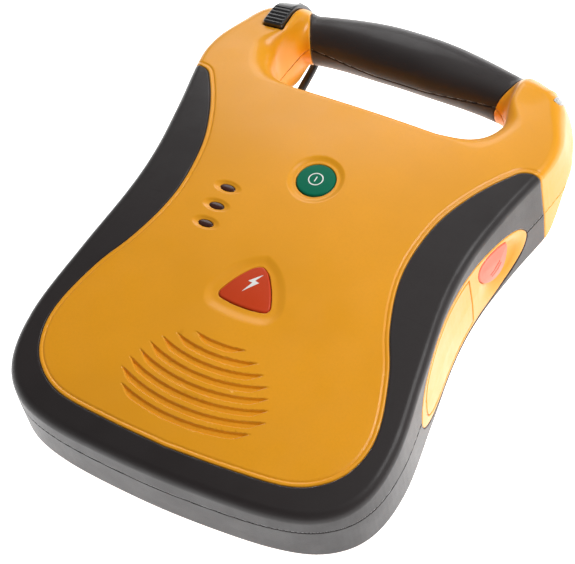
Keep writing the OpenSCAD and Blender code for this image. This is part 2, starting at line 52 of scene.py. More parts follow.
# ---- numbers shared with the CAD model
CROWN_Y, CROWN_R, BALL_Z = 49.5, 881.6, 68.8 - 881.6
PART_Z, SEAM_Z, BASE_Z = 30.9, 47.0, 7.0
SHOULDER_Y, OPENING_Y, HOLE_HALF, HOLE_CORNER = 77.5, 80.5, 70.0, 29.0
HANDLE_MID, HANDLE_R, HANDLE_TILT = (0.0, 136.5, 46.0), 325.0, math.radians(65)
POWER_Y, SHOCK_Y, LED_X, LED_Y = 26.4, -44.5, -41.6, (4.9, -7.3, -19.1)
CASE_BOSSES = [(90, -108), (-90, -108), (94, 98), (-94, 98), (0, -140), (-84, -6)]
MAIN_BOSSES = [(46, -56), (-46, -56), (46, 56), (-46, 56)]
POWER_BOSSES = [(-42, -70), (-74, -70), (-42, 64), (-74, 64)]
COVER_BOSSES = [(72, -84), (-72, -84), (72, 40), (-72, 40)]
PLUG_X, PLUG_HALF, PLUG_FRONT, PLUG_UNDER = -77.0, 6.2, 117.2, 44.1

# ---- thicknesses, reaches and gaps
WALL, WALL_UNDER, STEP_WALL = 2.5, 5.8, 3.2  # inner face: bare, under rubber, at the step between
RUBBER, SET_BACK = 3.2, 3.35  # rubber, and how deep the case sits below its outside
RUBBER_GAP, SEAM_GAP, SKIN_SEAM_GAP = 0.08, 0.06, 0.12
SIDE_GAP = 0.1  # round the moulding in the right wall
POWER_R, KEY_GAP = 10.4, 0.35  # power key, and the gap round it and the shock key
POWER_FLANGE, SHOCK_FLANGE = (11.8, 65.2), (1.6, 59.5)  # reach and top of the flange under each key
LED_HALF, LED_HOLE = (4.3, 2.0), (4.45, 2.15)  # half width and half height
PLUG_GAP = 0.3
PIN_RIB = ((-85.0, 122.2, 49.0), (-75.8, 180.0, 53.0))  # the plug's rib round its pins
WINDOW = ((88.75, 128.3, 45.5), (92.75, 160.0, 80.0))  # status window, before it is cut to the case
WINDOW_GAP = (0.15, 0.2, 0.2)
WINDOW_CORNER = 1.2

CASE_HALF = [
    (20, -152.52), (62, -149), (88, -140.5), (103.5, -123), (107.6, -94), (102, -53),
    (96.2, -14), (95.6, 16), (100, 49), (106.5, 82), (108.4, 104), (104.6, 121),
    (98.4, 134), (90, 141), (76, 143.4)]
FACE_HALF = [
    (0, -138), (34, -136.3), (66, -132.2), (84, -122), (93, -107), (94, -88), (86, -61),
    (76, -40), (69, -18), (67, 2), (70, 27), (78, 48.5), (89, 67.5), (97, 76)]
LENS = [
    (62.5, 29), (60, 36), (54, 41.5), (44, 46), (32, 49), (18, 51.5), (2, 53.3), (-14, 54.3),
    (-30, 54), (-44, 51.5), (-55, 46), (-62, 38), (-65, 29), (-62.5, 21), (-54, 15), (-40, 12),
    (-20, 10.8), (0, 10.6), (20, 10.8), (36, 12), (49, 14.6), (58.5, 20.5)]
PACK = [
    (10.5, 47), (9, 49.4), (-2, 51), (-16, 51.7), (-32, 51), (-44, 48.3), (-52.5, 43), (-56, 36),
    (-57, 29), (-55, 21.5), (-48, 17), (-36, 14.4), (-20, 13.4), (-4, 13.2), (8, 13.6), (10.5, 16),
    (10.7, 31)]


# ---- signed distance tools
def catmull(points, steps, closed=True):
    """Smooth curve through the points, in `steps` chords from each to the next."""
    p = np.array(points, float)
    n = len(p)
    out = []
    for i in range(n if closed else n - 1):
        if closed:
            a, b, c, d = p[(i - 1) % n], p[i], p[(i + 1) % n], p[(i + 2) % n]
        else:
            a, b, c, d = p[max(i - 1, 0)], p[i], p[i + 1], p[min(i + 2, n - 1)]
        for k in range(steps):
            t = k / steps
            out.append(0.5 * (2 * b + (c - a) * t + (2 * a - 5 * b + 4 * c - d) * t * t
                              + (3 * b - a - 3 * c + d) * t ** 3))
    if not closed:
        out.append(p[-1])
    return np.array(out)


class Loop:
    """Signed distance to a closed loop, negative inside, read from a grid by cubic interpolation."""

    def __init__(self, loop, lo, hi, step):
        self.lo, self.step = np.array(lo, float), step
        self.nx = int(math.ceil((hi[0] - lo[0]) / step)) + 4
        self.ny = int(math.ceil((hi[1] - lo[1]) / step)) + 4
        x = self.lo[0] + (np.arange(self.nx) - 1) * step
        y = self.lo[1] + (np.arange(self.ny) - 1) * step
        gx, gy = [g.ravel() for g in np.meshgrid(x, y, indexing="ij")]
        best = np.full(gx.size, 1e9)
        inside = np.zeros(gx.size, bool)
        a = np.asarray(loop, float)
        b = np.roll(a, -1, 0)
        for (ax, ay), (bx, by) in zip(a, b):
            dx, dy = bx - ax, by - ay
            size = dx * dx + dy * dy
            if size < 1e-12:
                continue
            t = np.clip(((gx - ax) * dx + (gy - ay) * dy) / size, 0, 1)
            np.minimum(best, (gx - ax - t * dx) ** 2 + (gy - ay - t * dy) ** 2, out=best)
            if ay != by:
                cross = ((ay > gy) != (by > gy)) & (gx < dx * (gy - ay) / dy + ax)
                inside ^= cross
        self.flat = np.where(inside, -1, 1) * np.sqrt(best)

    def __call__(self, x, y):
        u = np.clip((x - self.lo[0]) / self.step + 1, 1, self.nx - 3.001)
        v = np.clip((y - self.lo[1]) / self.step + 1, 1, self.ny - 3.001)
        i, j = u.astype(np.int64), v.astype(np.int64)
        wx, wy = self._weights(u - i), self._weights(v - j)
        base = (i - 1) * self.ny + j - 1
        out = 0
        for a in range(4):
            row = base + a * self.ny
            part = 0
            for b in range(4):
                part = part + wy[b] * self.flat[row + b]
            out = out + wx[a] * part
        return out

    @staticmethod
    def _weights(t):
        return (((2 - t) * t - 1) * t / 2, ((3 * t - 5) * t * t + 2) / 2,
                ((4 - 3 * t) * t + 1) * t / 2, (t - 1) * t * t / 2)


def smooth(a, b, t):
    """0 below a, 1 above b, with an S-shaped step between."""
    s = np.clip((t - a) / (b - a), 0, 1)
    return s * s * (3 - 2 * s)


def rmax(a, b, r):
    """Overlap of two shapes with the edge between them rounded to radius r."""
    return (np.minimum(np.maximum(a, b) + r, 0)
            + np.hypot(np.maximum(a + r, 0), np.maximum(b + r, 0)) - r)


def smin(a, b, k):
    """Union of two shapes, blended over a width k."""
    h = np.clip(0.5 + 0.5 * (b - a) / k, 0, 1)
    return b + (a - b) * h - k * h * (1 - h)


def box2(x, y, cx, cy, hx, hy, r=0.0):
    """Rectangle about (cx, cy) with half sides hx, hy and corner radius r."""
    qx, qy = np.abs(x - cx) - hx + r, np.abs(y - cy) - hy + r
    return np.hypot(np.maximum(qx, 0), np.maximum(qy, 0)) + np.minimum(np.maximum(qx, qy), 0) - r


def box3(p, lo, hi, r=0.0):
    """Block between two corners, with edges of radius r."""
    c, h = (np.array(lo) + hi) / 2, (np.array(hi) - lo) / 2
    q = np.abs(p - c) - h + r
    return np.sqrt((np.maximum(q, 0) ** 2).sum(1)) + np.minimum(q.max(1), 0) - r


def grown(box, gap):
    """The two corners of a box made larger by a gap on every side."""
    lo, hi = np.array(box)
    return lo - gap, hi + gap


POOL = ThreadPoolExecutor(4)
NEAR = 0.87 * 1.25  # half the diagonal of a cube of side 1, with a margin


def evaluate(f, p, chunk=30000):
    """f at every point, worked out in chunks on all cores."""
    if len(p) == 0:
        return np.zeros(0)
    return np.concatenate(list(POOL.map(f, [p[i:i + chunk] for i in range(0, len(p), chunk)])))


def gradient(f, p, e):
    """Slope of f at every point, from four samples at a distance e."""
    corners = ((1, 1, 1), (1, -1, -1), (-1, 1, -1), (-1, -1, 1))
    return sum(np.array(c)[None] * evaluate(f, p + e * np.array(c))[:, None] for c in corners) / (4 * e)


def surface_net(f, lo, hi, h, slack=None):
    """Quads on the surface f = 0 inside a box, from cells of size h visited only near the surface."""
    lo = np.array(lo, float)
    blocks = np.ceil((np.array(hi) - lo) / (8 * h)).astype(int)
    grid = np.stack(np.meshgrid(*[np.arange(n) for n in blocks], indexing="ij"), -1).reshape(-1, 3)
    extra = (lambda c: 0.0) if slack is None else slack
    # blocks of 8, 4, then 2 cells: only those near the surface are split
    for parts, size in ((1, 8), (2, 4), (2, 2)):
        if parts > 1:
            o = np.stack(np.meshgrid(*[np.arange(parts)] * 3, indexing="ij"), -1).reshape(-1, 3)
            grid = (grid[:, None] * parts + o).reshape(-1, 3)
        c = lo + (grid + 0.5) * size * h
        grid = grid[np.abs(evaluate(f, c)) < size * h * NEAR + 0.1 + extra(c)]
    n1, n2 = blocks[1] * 8 + 2, blocks[2] * 8 + 2
    strides = np.array([n1 * n2, n2, 1], np.int64)
    o = np.stack(np.meshgrid(*[np.arange(3)] * 3, indexing="ij"), -1).reshape(-1, 3)
    keys = np.unique(((grid[:, None] * 2 + o).reshape(-1, 3) * strides).sum(1))
    node = np.stack([keys // strides[0], keys // n2 % n1, keys % n2], 1)
    pos = lo + node * h
    value = evaluate(f, pos)
    value[value == 0] = 1e-9
    inside = value < 0
    quads, points = [], []
    for ax in range(3):
        u, w = (ax + 1) % 3, (ax + 2) % 3
        j = np.minimum(np.searchsorted(keys, keys + strides[ax]), len(keys) - 1)
        i = np.flatnonzero((keys[j] == keys + strides[ax]) & (inside != inside[j]))
        j = j[i]
        t = value[i] / (value[i] - value[j])
        p = pos[i].copy()
        p[:, ax] += t * h
        ring = keys[i][:, None] - np.array([0, strides[u], strides[u] + strides[w], strides[w]])
        ring[~inside[i]] = ring[~inside[i]][:, ::-1]
        quads.append(ring)
        points.append(np.repeat(p, 4, 0))
    quads = np.concatenate(quads)
    points = np.concatenate(points)
    cells, index = np.unique(quads.ravel(), return_inverse=True)
    count = np.bincount(index, minlength=len(cells))
    verts = np.stack([np.bincount(index, points[:, k], len(cells)) / count for k in range(3)], 1)
    for _ in range(2):
        g = gradient(f, verts, 0.25 * h)
        d = evaluate(f, verts)
        step = (d / np.maximum((g * g).sum(1), 0.05))[:, None] * g
        length = np.linalg.norm(step, axis=1, keepdims=True)
        verts = verts - step * np.minimum(1, 0.5 * h / np.maximum(length, 1e-9))
    return verts, index.reshape(-1, 4)


def new_mesh(name, verts_mm, faces):
    """Mesh from arrays of vertices (mm) and of faces with one number of corners."""
    mesh = bpy.data.meshes.new(name)
    faces = np.asarray(faces, np.int32)
    corners = faces.shape[1]
    mesh.vertices.add(len(verts_mm))
    mesh.vertices.foreach_set("co", (np.asarray(verts_mm) * MM).astype(np.float32).ravel())
    mesh.loops.add(faces.size)
    mesh.loops.foreach_set("vertex_index", faces.ravel())
    mesh.polygons.add(len(faces))
    mesh.polygons.foreach_set("loop_start", np.arange(0, faces.size, corners, dtype=np.int32))
    mesh.update(calc_edges=True)
    mesh.validate()
    return mesh


def link(name, mesh, material):
    """New object in the scene from a mesh and its one material."""
    o = bpy.data.objects.new(name, mesh)
    bpy.context.scene.collection.objects.link(o)
    mesh.materials.append(material)
    return o


def baked(o, *modifiers):
    """Applies modifiers, given as (kind, settings) pairs, and leaves a plain mesh."""
    for kind, settings in modifiers:
        m = o.modifiers.new(kind.lower(), kind)
        for key, v in settings.items():
            setattr(m, key, v)
    bpy.context.view_layer.update()
    mesh = bpy.data.meshes.new_from_object(o.evaluated_get(bpy.context.evaluated_depsgraph_get()))
    old = o.data
    o.modifiers.clear()
    o.data = mesh
    bpy.data.meshes.remove(old)
    return o


def coordinates(mesh):
    """Vertices of a mesh as an array, in metres."""
    co = np.zeros(len(mesh.vertices) * 3, np.float32)
    mesh.vertices.foreach_get("co", co)
    return co.reshape(-1, 3).astype(float)


def solid(name, f, lo, hi, h, look, nodes=(), most=90000, slack=None, body="case"):
    """A piece from its signed distance function: meshed, thinned to `most` faces and shaded smooth."""
    h *= COARSE
    verts, quads = surface_net(f, lo, hi, h, slack)
    o = link(name, new_mesh(name, verts, quads), mat[look])
    keep = most / COARSE / len(quads)
    if keep < 1:
        baked(o, ("DECIMATE", {"ratio": keep}))
    mesh = o.data
    mesh.polygons.foreach_set("use_smooth", np.ones(len(mesh.polygons), bool))
    g = gradient(f, coordinates(mesh) / MM, 0.12)
    length = np.linalg.norm(g, axis=1, keepdims=True)
    g = np.where(length > 1e-6, g / np.maximum(length, 1e-9), 0)
    mesh.normals_split_custom_set_from_vertices([tuple(v) for v in g])
    return place(o, body, nodes)


def place(o, body, nodes):
    """Puts a piece on its body and hides the CAD nodes, if any, that it stands for."""
    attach(o, body)
    if nodes:
        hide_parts(*nodes)
    return o


# ---- the case as one field
case_loop = catmull(CASE_HALF + [(-x, y) for x, y in reversed(CASE_HALF)], 8)
face_right = catmull(FACE_HALF + [(112, 77.5)], 8, closed=False)
face_loop = np.array([(-x, y) for x, y in face_right[:0:-1]] + [tuple(q) for q in face_right]
                     + [(140, 77.5), (140, 200), (-140, 200), (-140, 77.5)])
OUTLINE = Loop(case_loop, (-4, -170), (125, 170), 1.0)
FACE = Loop(face_loop, (-4, -170), (125, 170), 1.0)
LENS_AT = Loop(catmull(LENS, 6), (-80, 0), (80, 70), 0.5)
PACK_AT = Loop(catmull(PACK, 6), (-80, 0), (80, 70), 0.5)
LEAF = [
    (45.0, 41.4), (41.0, 44.0), (35.3, 46.0), (28.0, 47.2), (21.8, 46.2), (19.4, 42.0), (20.4, 36.6),
    (24.6, 29.8), (30.6, 25.0), (36.6, 23.6), (41.6, 26.4), (44.6, 32.5), (45.9, 38.0)]
LEAF_AT = Loop(catmull(LEAF, 6), (0, 0), (70, 70), 0.4)
BOLT = [(2.6, 6.5), (-2.6, 1.2), (-0.4, 1.0), (-2.9, -4.6), (2.6, 1.9), (0.4, 2.2)]
BOLT_AT = Loop([(1.2 * x, 1.2 * y - 44.0) for x, y in BOLT], (-12, -60), (12, -30), 0.1)

GRILLE_Y, GRILLE_R0, GRILLE_PITCH, GRILLE_DEPTH = -7.5, 72.2, 6.2, 1.6
GRILLE_OPEN, GRILLE_RAMP = 0.48, 0.12  # slot and ramp, as shares of the pitch
GRILLE_HALF = np.array([15, 24, 30, 35, 38, 41, 42.5, 38.0])  # half length of each slot
GRILLE_LAST = len(GRILLE_HALF) - 1


def triangle(x, y):
    """Outline of the shock button: three bulged sides and round corners."""
    x = np.abs(x)
    side = np.hypot(x + 42.7, y + 74.4) - 61.6
    base = np.hypot(x, y - 5.0) - 61.6
    return rmax(side, base, 3.4)


def apex_round(x, y):
    """The same with its top corner rounded."""
    return rmax(triangle(x, y), np.hypot(x, y + 52.5) - 20.2, 2.5)


def grille(x, y):
    """Height of the speaker grille: curved slots with tapered ends, one pitch apart."""
    place_in = (np.hypot(x, y - GRILLE_Y) - GRILLE_R0) / GRILLE_PITCH
    k = np.floor(place_in)
    t = place_in - k
    half = GRILLE_HALF[np.clip(k, 0, GRILLE_LAST).astype(int)]
    following = GRILLE_HALF[np.clip(k + 1, 0, GRILLE_LAST).astype(int)]
    taper = 1 - smooth(half - 9, half, np.abs(x))
    on = (k >= 0) & (k <= GRILLE_LAST)
    floor = np.where(on, np.clip((GRILLE_OPEN * taper - t) / GRILLE_RAMP, 0, 1), 0)
    # the wall at the back of each slot is a short ramp at the end of the rib behind it
    ahead = (k >= -1) & (k < GRILLE_LAST)
    ramp = np.clip((t - (1 - GRILLE_RAMP)) / GRILLE_RAMP, 0, 1)
    drop = np.where(ahead, ramp * np.clip((following - np.abs(x)) / 3, 0, 1), 0)
    return -GRILLE_DEPTH * np.maximum(floor, drop)


def led_oval(x, y, ly, half):
    """1 on the edge of the indicator oval at height ly, less inside."""
    return np.hypot((x - LED_X) / half[0], (y - ly) / half[1])


def relief(x, y):
    """Height of the small shapes in the face above its smooth crown."""
    h = -1.15 * (1 - smooth(12.2, 15.8, np.hypot(x, y - POWER_Y)))
    h -= 1.1 * (1 - smooth(2.2, 9.2, apex_round(x, y)))
    for ly in LED_Y:
        h -= 0.8 * (1 - smooth(1.1, 1.95, led_oval(x, y, ly, LED_HOLE)))
    low = (y < -68) & (y > -135) & (np.abs(x) < 50)
    if low.any():
        h[low] += grille(x[low], y[low])
    # a fine groove runs inside the edge of the yellow face
    edge = FACE(np.abs(x), y)
    near = (y < 77) | (np.abs(x) > 90)
    h -= np.where(near, 0.45 * np.exp(-((edge + 2.3) / 0.55) ** 2), 0)
    return h


def handle(p):
    """The carrying bar, its middle raised and its ends thinner."""
    x = np.abs(p[:, 0])
    y, z = p[:, 1] - HANDLE_MID[1], p[:, 2] - HANDLE_MID[2]
    out = y * math.cos(HANDLE_TILT) + z * math.sin(HANDLE_TILT)
    off = -y * math.sin(HANDLE_TILT) + z * math.cos(HANDLE_TILT)
    r = 15.8 - 2.0 * smooth(10, 68, x) - 2.2 * smooth(66, 86, x)
    palm = np.maximum(off, 0) * (1 - 1 / (1 + 0.24 * (1 - smooth(6, 58, x))))
    out = np.hypot(x, out + HANDLE_R) - HANDLE_R
    return rmax(np.hypot(out, off - palm) - r, x - 82, 8.0)


def hull(p, plain=True):
    """The case before the hand opening is cut: crowned face, side wall and underside."""
    x, y, z = np.abs(p[:, 0]), p[:, 1], p[:, 2]
    ball = np.sqrt(x * x + (y - CROWN_Y) ** 2 + (z - BALL_Z) ** 2) - CROWN_R
    top = np.abs(ball) < 7
    if not plain and top.any():
        ball[top] -= relief(p[top, 0], y[top])
    up = z - PART_Z
    draft = 0.03 + 0.2 * smooth(85, 125, y)
    wall = OUTLINE(x, y) + draft * np.maximum(up, 0) + 0.012 * np.maximum(-up, 0)
    floor = (BASE_Z + 0.2 * np.maximum(y - 78, 0) - z) * 0.98
    b = rmax(ball, wall, 4.5 + 2.5 * smooth(82, 124, y))
    return rmax(b, floor, 2.6 + 21 * smooth(79, 104, y))


def hand_hole(x, y):
    """The hand opening in plan: wide round corners in front, narrower where the bar joins."""
    hx, hy = x - (HOLE_HALF - HOLE_CORNER), (OPENING_Y + HOLE_CORNER) - y
    front = np.hypot(np.maximum(hx, 0), np.maximum(hy, 0)) + np.minimum(np.maximum(hx, hy), 0)
    return front - HOLE_CORNER + 2.0 * smooth(104, 122, y)


def body(p):
    """The outside of the whole case."""
    x, y = np.abs(p[:, 0]), p[:, 1]
    b = hull(p, plain=False)
    far = y > 60
    if far.any():
        xf, yf = x[far], y[far]
        lip = 3.5 + 9.0 * smooth(46, 72, xf) * (1 - smooth(102, 122, yf))
        c = rmax(b[far], -hand_hole(xf, yf), lip)
        b[far] = smin(c, handle(p[far]), 9.0 + 9.0 * smooth(60, 72, xf))
    return b


def grip_zone(p):
    """Negative where the bar wears its rubber grip."""
    return np.maximum(np.abs(p[:, 0]) - 62.3 - 0.47 * (p[:, 1] - 133), 108 - p[:, 1])


def split_z(p):
    """Height of the joint between the front and rear halves."""
    lift = (1 - smooth(56, 74, np.abs(p[:, 0]))) * (p[:, 1] > 95)
    return PART_Z + (SEAM_Z - PART_Z) * lift


def side(p, loop, grow=0.0):
    """A prism along X on the right wall, from a loop in the Y-Z plane."""
    return np.where(p[:, 0] > 60, loop(p[:, 1], p[:, 2]) - grow, 40.0)


def pack_2d(p, inset=0.0):
    """Section of the battery pack in the Y-Z plane: a lens of two arcs with its ends cut off."""
    y, z = p[:, 1], p[:, 2]
    half_long, half_high = 64.0, 17.5
    r = (half_long ** 2 + half_high ** 2) / (2 * half_high)
    lens = np.hypot(y + 2.5, np.abs(z - 34.5) + r - half_high) - r
    return np.maximum(lens + 2.5, np.abs(y + 23) - 33.5) + inset


def plug_room(p):
    """Room in the case for the plug and the rib round its pins."""
    reach = PLUG_HALF + PLUG_GAP
    room = box3(p, (PLUG_X - reach, PLUG_FRONT - PLUG_GAP, PLUG_UNDER - 0.4), (PLUG_X + reach, 180, 90), 1.5)
    return np.minimum(room, box3(p, *grown(PIN_RIB, PLUG_GAP), 0.8))


def rounds(p, centres, r):
    """Upright cylinders of radius r about several places."""
    return np.min([np.hypot(p[:, 0] - x, p[:, 1] - y) for x, y in centres], axis=0) - r


# ---- main mouldings
def shell(b, yellow, cavity_more=None):
    """Moulded shell: full thickness where it shows, set back where rubber covers it."""
    out = np.minimum(rmax(b, yellow, 0.7), b + SET_BACK)
    cavity = np.minimum(b + WALL_UNDER, np.maximum(b + WALL, yellow + STEP_WALL))
    if cavity_more is not None:
        cavity = np.maximum(cavity, cavity_more)
    return np.maximum(out, -cavity)


def front_shell(p):
    """Front half of the case: face, horns and the bare middle of the bar."""
    b = body(p)
    x, y, z = p[:, 0], p[:, 1], p[:, 2]
    yellow = np.maximum(FACE(np.abs(x), y), -grip_zone(p)) + RUBBER_GAP
    s = shell(b, yellow)
    posts = np.minimum(rounds(p, CASE_BOSSES, 4.5), np.maximum(rounds(p, MAIN_BOSSES, 3.6), 55.8 - z))
    s = smin(s, np.maximum(posts, np.where(yellow < 0, b, b + SET_BACK) + 1.5), 0.8)
    s = rmax(s, split_z(p) - z + SEAM_GAP, 0.3)
    pilots = np.minimum(rounds(p, MAIN_BOSSES, 1.55), rounds(p, CASE_BOSSES, 1.95))
    pilot_end = np.where((np.abs(x) > 60) | (y < -120), 43, 58)
    s = np.maximum(s, -np.maximum(pilots, z - pilot_end))
    # openings for the keys and indicators, then the wider room below for the flanges of the keys
    power, shock = np.hypot(x, y - POWER_Y), apex_round(x, y)
    cut = np.minimum(power - POWER_R - KEY_GAP, shock - KEY_GAP)
    for ly in LED_Y:
        cut = np.minimum(cut, (led_oval(x, y, ly, LED_HOLE) - 1) * LED_HOLE[1])
    for distance, (reach, top), side_gap, top_gap in ((power, POWER_FLANGE, 0.3, 0.25),
                                                      (shock, SHOCK_FLANGE, 0.35, 0.3)):
        cut = np.minimum(cut, np.maximum(distance - reach - side_gap, z - top - top_gap))
    s = rmax(s, -np.maximum(cut, 50 - z), 0.35)
    s = rmax(s, -plug_room(p), 0.5)
    s = rmax(s, -side(p, LENS_AT, SIDE_GAP), 0.3)
    return rmax(s, -box3(p, *grown(WINDOW, WINDOW_GAP), WINDOW_CORNER), 0.2)


def rear_shell(p):
    """Rear half of the case, with the pocket for the pads pouch in its floor."""
    b = body(p)
    x, y, z = p[:, 0], p[:, 1], p[:, 2]
    bare_floor = np.maximum(OUTLINE(np.abs(x), y) + 12.1, z - 20)
    yellow = np.maximum(np.minimum(SHOULDER_Y - y, bare_floor - RUBBER_GAP), -grip_zone(p)) + RUBBER_GAP
    pocket, pocket_wall = box3(p, (-66, -80, -5), (66, 106, 14), 2.0), 2.4
    s = shell(b, yellow, cavity_more=-(pocket - pocket_wall))
    posts = np.minimum(rounds(p, CASE_BOSSES, 5.0), np.maximum(rounds(p, POWER_BOSSES, 3.4), z - 17.9))
    s = smin(s, np.maximum(posts, np.maximum(b + 3.6, -pocket + pocket_wall)), 0.8)
    s = rmax(s, z - split_z(p) + SEAM_GAP, 0.3)
    s = rmax(s, -pocket, 0.5)
    pilot = 1.35
    for hole in (rounds(p, CASE_BOSSES, 2.1),
                 np.maximum(rounds(p, CASE_BOSSES, 4.0), z - np.where(y > 60, 17.0, 12.2)),
                 np.maximum(rounds(p, COVER_BOSSES, pilot), z - 9),
                 np.maximum(rounds(p, POWER_BOSSES, pilot), 14.4 - z)):
        s = np.maximum(s, -hole)
    s = rmax(s, -plug_room(p), 0.5)
    return rmax(s, -side(p, LENS_AT, SIDE_GAP), 0.3)


def front_skin(p):
    """Rubber bumper round the lower part of the face."""
    b = body(p)
    s = rmax(b, 0.1 - FACE(np.abs(p[:, 0]), p[:, 1]), 0.8)
    s = np.maximum(s, -(b + RUBBER))
    s = rmax(s, split_z(p) - p[:, 2] + SKIN_SEAM_GAP, 0.35)
    return rmax(s, -side(p, LENS_AT, SIDE_GAP), 0.4)


def rear_skin(p):
    """Rubber bumper on the rear half: a wall and a rim under the floor."""
    b = body(p)
    s = rmax(b, p[:, 1] - SHOULDER_Y + RUBBER_GAP, 0.7)
    s = np.maximum(s, -(b + RUBBER))
    s = rmax(s, -(OUTLINE(np.abs(p[:, 0]), p[:, 1]) + 12), 0.5)
    s = rmax(s, p[:, 2] - split_z(p) + SKIN_SEAM_GAP, 0.35)
    s = rmax(s, -np.maximum(rounds(p, CASE_BOSSES, 4.2), p[:, 2] - 14), 0.3)
    return rmax(s, -side(p, LENS_AT, SIDE_GAP), 0.4)


def grip(p, sign):
    """Rubber on the carrying bar: sign 1 for the part above the joint, -1 for the part below."""
    b = body(p)
    s = rmax(b, grip_zone(p) + 0.1, 0.9)
    s = np.maximum(s, -(b + RUBBER))
    return rmax(s, sign * (split_z(p) - p[:, 2]) + 0.14, 0.45)


# ---- right wall
def dished(p, b):
    """The wall with the finger scoop around the eject button."""
    scoop_at, scoop_half = (103.0, 36.0, 28.0), (9.5, 21.0, 15.5)
    e = np.linalg.norm((p - scoop_at) / scoop_half, axis=1)
    return rmax(b, (1 - e) * 9.0, 2.0)


def bezel(p):
    """Yellow moulding in the right wall, open for the pack and the eject button."""
    b = dished(p, body(p))
    x = p[:, 0]
    lens, pack, leaf = side(p, LENS_AT, -0.12), side(p, PACK_AT, 0.3), side(p, LEAF_AT, 0.3)
    s = rmax(b, lens, 0.8)
    s = np.maximum(s, -(b + RUBBER))
    s = rmax(s, -pack, 0.5)
    shelf = np.maximum(np.maximum(b + RUBBER, -(b + 4.6)), lens)
    lip = np.maximum(np.maximum(pack_2d(p) - 1.7, b + RUBBER), 88.9 - x)
    s = np.minimum(s, np.minimum(shelf, lip))
    s = np.maximum(s, -np.maximum(pack_2d(p) - 0.45, 60 - x))
    return rmax(s, -leaf, 0.5)


def pack_face(p):
    """The end of the battery pack that closes the right wall."""
    b = body(p)
    s = rmax(b, side(p, PACK_AT) + 0.25, 0.7)
    s = rmax(s, -(b + 3.0), 0.3)
    core = np.maximum(np.maximum(b + 2.8, pack_2d(p, 0.2)), 91.95 - p[:, 0])
    return np.minimum(s, core)


def eject_button(p):
    """Leaf-shaped button with a domed face, a flange, and the wedge that draws the latch."""
    b = body(p)
    x, y, z = p[:, 0], p[:, 1], p[:, 2]
    leaf = side(p, LEAF_AT)
    dome = b - 0.2 - 1.0 * smooth(0, -9, leaf)
    s = rmax(dome, leaf, 1.1)
    s = np.maximum(s, 86.9 - x)
    # two engraved lines, in the button's own slanted axes
    across, rise = y - 33.2, z - 33.4
    u, v = across * 0.93 + rise * 0.37, rise * 0.93 - across * 0.37
    for k in (-1, 1):
        line = box2(u, v, 0, k * 1.5, 4.6, 0.42, 0.3)
        s = rmax(s, -np.maximum(line, -(dome + 0.6)), 0.12)
    flange = np.maximum(np.maximum(leaf - 1.6, x - 87.1), 85.0 - x)
    wedge = np.maximum(np.maximum(np.maximum(73 - x, x - 86), np.maximum(26 - y, y - 33)),
                       np.maximum((y - 29.67) - (x - 73) * 5 / 6, np.abs(z - 36) - 2))
    s = np.minimum(s, np.minimum(flange, wedge))
    bore = np.maximum(np.hypot(y - 40, z - 36.5) - 2.6, x - 89)
    return np.maximum(s, -bore)


# ---- small pieces
def power_button(p):
    """Round key with a flange below and a stem for its switch."""
    x, y, z = p[:, 0], p[:, 1] - POWER_Y, p[:, 2]
    r = np.hypot(x, y)
    top = 68.35 - 0.0045 * r * r
    s = rmax(r - POWER_R, z - top, 0.9)
    s = np.maximum(s, 64.0 - z)
    flange = np.maximum(np.maximum(r - POWER_FLANGE[0], 63.9 - z), z - POWER_FLANGE[1])
    stem = np.maximum(np.maximum(r - 2.6, 60.2 - z), z - 64.5)
    return np.minimum(s, np.minimum(flange, stem))


def crown_z(x, y):
    """Height of the face's smooth crown."""
    return BALL_Z + np.sqrt(CROWN_R ** 2 - x * x - (y - CROWN_Y) ** 2)


def shock_button(p):
    """Three-sided key with a slightly domed top and a flange below."""
    x, y, z = p[:, 0], p[:, 1], p[:, 2]
    t = apex_round(x, y)
    top = crown_z(x, y) + 0.1 - 0.0035 * (x * x + (y - SHOCK_Y) ** 2)
    s = np.maximum(rmax(t, z - top, 0.9), 59.0 - z)
    return np.minimum(s, np.maximum(np.maximum(t - SHOCK_FLANGE[0], 58.5 - z), z - SHOCK_FLANGE[1]))


def led_windows(p):
    """Three oval windows, each on a round light pipe."""
    x, y, z = p[:, 0], p[:, 1], p[:, 2]
    out = np.full(len(p), 50.0)
    for ly in LED_Y:
        e = led_oval(x, y, ly, LED_HALF)
        top = crown_z(LED_X, ly) - 0.75
        w = rmax((e - 1) * LED_HALF[1], z - top - 0.35 * (1 - e * e), 0.4)
        w = np.maximum(w, top - 3 - z)
        pipe = np.maximum(np.maximum(np.hypot(x - LED_X, y - ly) - 1.8, 57.4 - z), z - top)
        out = np.minimum(out, np.minimum(w, pipe))
    return out


def status_lens(p):
    """Clear window of the status light, in the right horn."""
    b = body(p)
    return np.maximum(rmax(b - 0.35, box3(p, *WINDOW, WINDOW_CORNER), 0.6), -(b + 3.2))


def plug(p):
    """Pads connector: a smooth crown at the back, then four soft cross ridges down its face."""
    x, y, z = p[:, 0] - PLUG_X, p[:, 1], p[:, 2]
    outside = body(p)
    wave = np.clip((y - PLUG_FRONT - 2.6) / 2.7, 0, 4) % 1.0
    ridge = np.abs(np.sin(np.pi * wave)) ** 0.6
    groove = 0.8 * smooth(5.9, 4.9, np.abs(x)) * (1 - ridge)
    groove *= smooth(PLUG_FRONT + 14.2, PLUG_FRONT + 13.2, y) * smooth(PLUG_FRONT + 1.6, PLUG_FRONT + 2.4, y)
    plan = box2(x, y, 0, PLUG_FRONT + 30, PLUG_HALF, 30, 2.2)
    s = rmax(smin(outside, hull(p), 4.0) - 2.2 + groove, plan, 1.4)
    # over the socket it is only a lip; the rib goes round the pins
    s = np.maximum(s, np.where(y < PIN_RIB[0][1] - 0.1, -(outside + 3.6), -9))
    rib = np.maximum(box3(p, *PIN_RIB, 0.6), outside + 0.4)
    return np.minimum(rmax(s, PLUG_UNDER - z, 0.8), rib)


